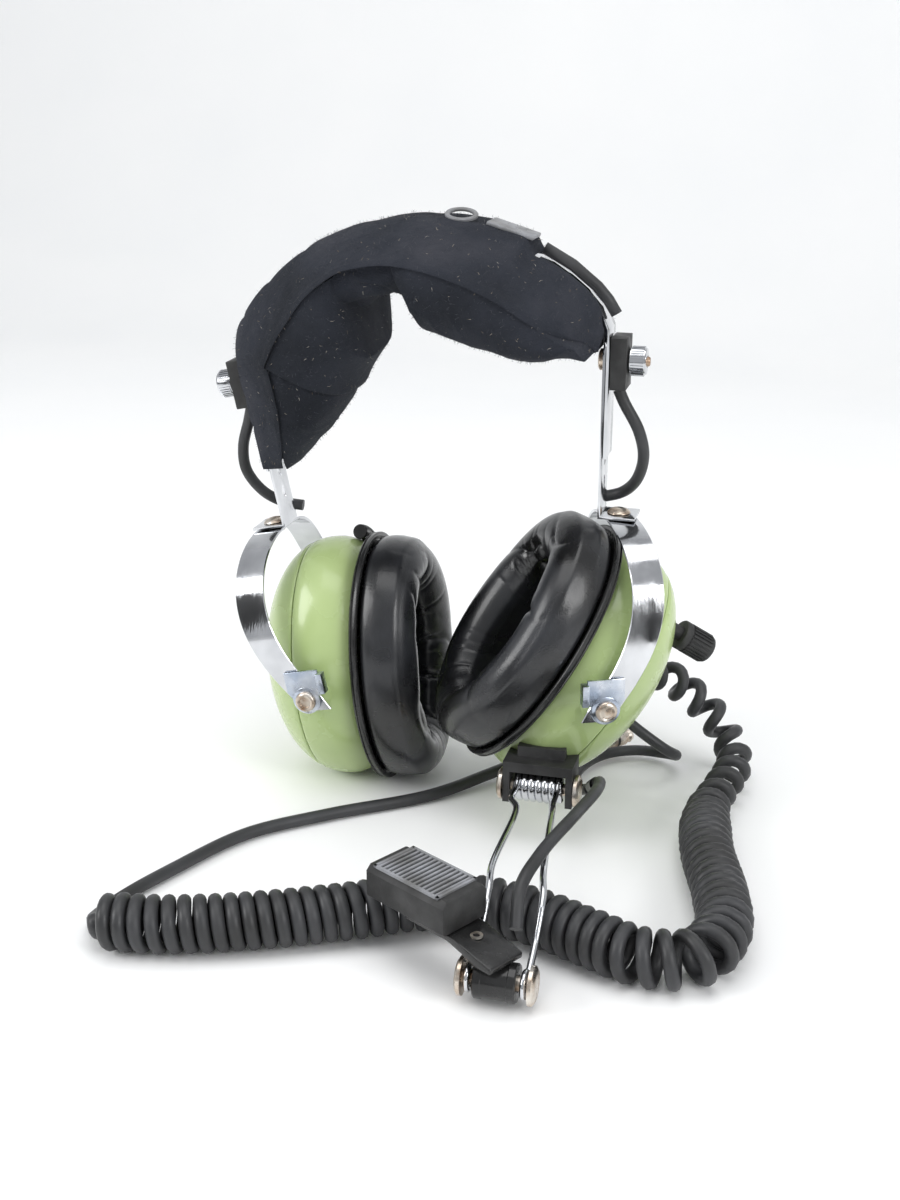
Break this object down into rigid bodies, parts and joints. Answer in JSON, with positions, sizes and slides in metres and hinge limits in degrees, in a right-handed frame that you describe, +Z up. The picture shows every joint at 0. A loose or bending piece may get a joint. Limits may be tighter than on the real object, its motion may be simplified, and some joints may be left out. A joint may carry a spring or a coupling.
{
  "type": "aviation headset",
  "caption": "Headset with a padded steel headband, oval ear cups on swivelling stirrups, a wire microphone boom and a coiled cord ending in a plug.",
  "frame": {"origin": "under the middle of the headset and its boom, at the height of the lowest cup's rim; the free cord is left out", "axes": "+Z up, +X towards the right ear cup, +Y away from the microphone"},
  "size_m": [0.2268, 0.2147, 0.2281],
  "materials": {
    "chrome": "bright, light scratches",
    "steel": "nickelled, worn to a brownish tint",
    "green_plastic": "glossy sage green moulding",
    "vinyl": "soft glossy black vinyl skin over foam",
    "black_plastic": "smooth black moulding",
    "rubber": "matte charcoal jacket",
    "cloth": "charcoal napped cloth",
    "grey_plastic": "matte light grey",
    "clear_plastic": "clear, slightly green"
  },
  "bodies": {
    "right_cup": {"right_inner_shell": "green_plastic", "right_outer_shell": "green_plastic", "right_seal_plate": "black_plastic", "right_ear_seal": "vinyl", "right_speaker": "black_plastic", "right_lead_grommet": "rubber", "volume_pot": "black_plastic", "boom_hinge_bracket": "black_plastic", "boom_hinge_pin": "steel", "mic_lead_loop": "rubber", "cord_strain_relief": "rubber", "cord_coil": "rubber", "cord_tail": "rubber", "plug_sleeve": "clear_plastic", "plug_collar": "black_plastic", "plug_pin": "steel"},
    "right_stirrup": {"right_stirrup": "chrome", "right_front_pivot_clip": "chrome", "right_rear_pivot_clip": "chrome", "right_front_pivot_screw": "steel", "right_rear_pivot_screw": "steel"},
    "right_adjuster": {"right_slide_strip": "chrome", "right_swivel_rivet": "steel", "right_crossover_loop": "rubber"},
    "headband": {"headband_spring": "chrome", "pad_wrap": "cloth", "pad_cushion_right": "cloth", "pad_cushion_left": "cloth", "pad_snap_ring": "grey_plastic", "pad_tab": "grey_plastic", "right_guide_block": "black_plastic", "left_guide_block": "black_plastic", "right_clamp_screw": "steel", "left_clamp_screw": "steel", "crossover_lead": "rubber"},
    "right_nut": {"right_thumb_nut": "chrome"},
    "left_nut": {"left_thumb_nut": "chrome"},
    "left_adjuster": {"left_slide_strip": "chrome", "left_swivel_rivet": "steel", "left_crossover_loop": "rubber"},
    "left_stirrup": {"left_stirrup": "chrome", "left_front_pivot_clip": "chrome", "left_rear_pivot_clip": "chrome", "left_front_pivot_screw": "steel", "left_rear_pivot_screw": "steel"},
    "left_cup": {"left_inner_shell": "green_plastic", "left_outer_shell": "green_plastic", "left_seal_plate": "black_plastic", "left_ear_seal": "vinyl", "left_speaker": "black_plastic", "left_lead_grommet": "rubber"},
    "volume_knob": {"volume_knob": "black_plastic"},
    "boom": {"boom_hinge_coil": "chrome", "boom_wire_left": "chrome", "boom_wire_right": "chrome", "mic_pivot_pin": "steel", "mic_lead_boom": "rubber"},
    "mic": {"mic_pivot_barrel": "black_plastic", "mic_clip": "black_plastic", "mic_capsule": "black_plastic"}
  },
  "joints": [
    {"name": "right_cup_tilt", "type": "hinge", "parent": "right_cup", "child": "right_stirrup", "pos_m": [0.04756, 0.05066, 0.05791], "axis": [-0.4226, 0.9063, 0], "range_deg": [0, 30]},
    {"name": "right_swivel", "type": "hinge", "parent": "right_stirrup", "child": "right_adjuster", "pos_m": [0.06115, 0.057, 0.11941], "axis": [0, 0, 1], "range_deg": [-10, 10]},
    {"name": "right_slide", "type": "slide", "parent": "right_adjuster", "child": "headband", "axis": [0, 0, 1], "range_m": [0, 0.005]},
    {"name": "right_nut_turn", "type": "hinge", "parent": "headband", "child": "right_nut", "pos_m": [0.05415, 0.057, 0.17741], "axis": [1, 0, 0], "continuous": true},
    {"name": "left_nut_turn", "type": "hinge", "parent": "headband", "child": "left_nut", "pos_m": [-0.08321, 0.057, 0.16298], "axis": [-0.9781, 0, -0.2079], "continuous": true},
    {"name": "left_slide", "type": "slide", "parent": "headband", "child": "left_adjuster", "axis": [0.2079, 0, -0.9781], "range_m": [0, 0.005]},
    {"name": "left_swivel", "type": "hinge", "parent": "left_adjuster", "child": "left_stirrup", "pos_m": [-0.078, 0.057, 0.10479], "axis": [-0.2079, 0, 0.9781], "range_deg": [-8, 8]},
    {"name": "left_cup_tilt", "type": "hinge", "parent": "left_stirrup", "child": "left_cup", "pos_m": [-0.05054, 0.057, 0.04775], "axis": [0, -1, 0], "range_deg": [-10, 4]},
    {"name": "volume_turn", "type": "hinge", "parent": "right_cup", "child": "volume_knob", "pos_m": [0.09092, 0.06757, 0.06591], "axis": [0.7601, 0.3544, -0.5446], "range_deg": [0, 270]},
    {"name": "boom_swing", "type": "hinge", "parent": "right_cup", "child": "boom", "pos_m": [0.04205, 0.011, 0.02402], "axis": [-1, 0, 0], "range_deg": [0, 38]},
    {"name": "mic_tilt", "type": "hinge", "parent": "boom", "child": "mic", "pos_m": [0.05105, -0.095, 0.00902], "axis": [1, 0, 0], "range_deg": [0, 45]}
  ]
}
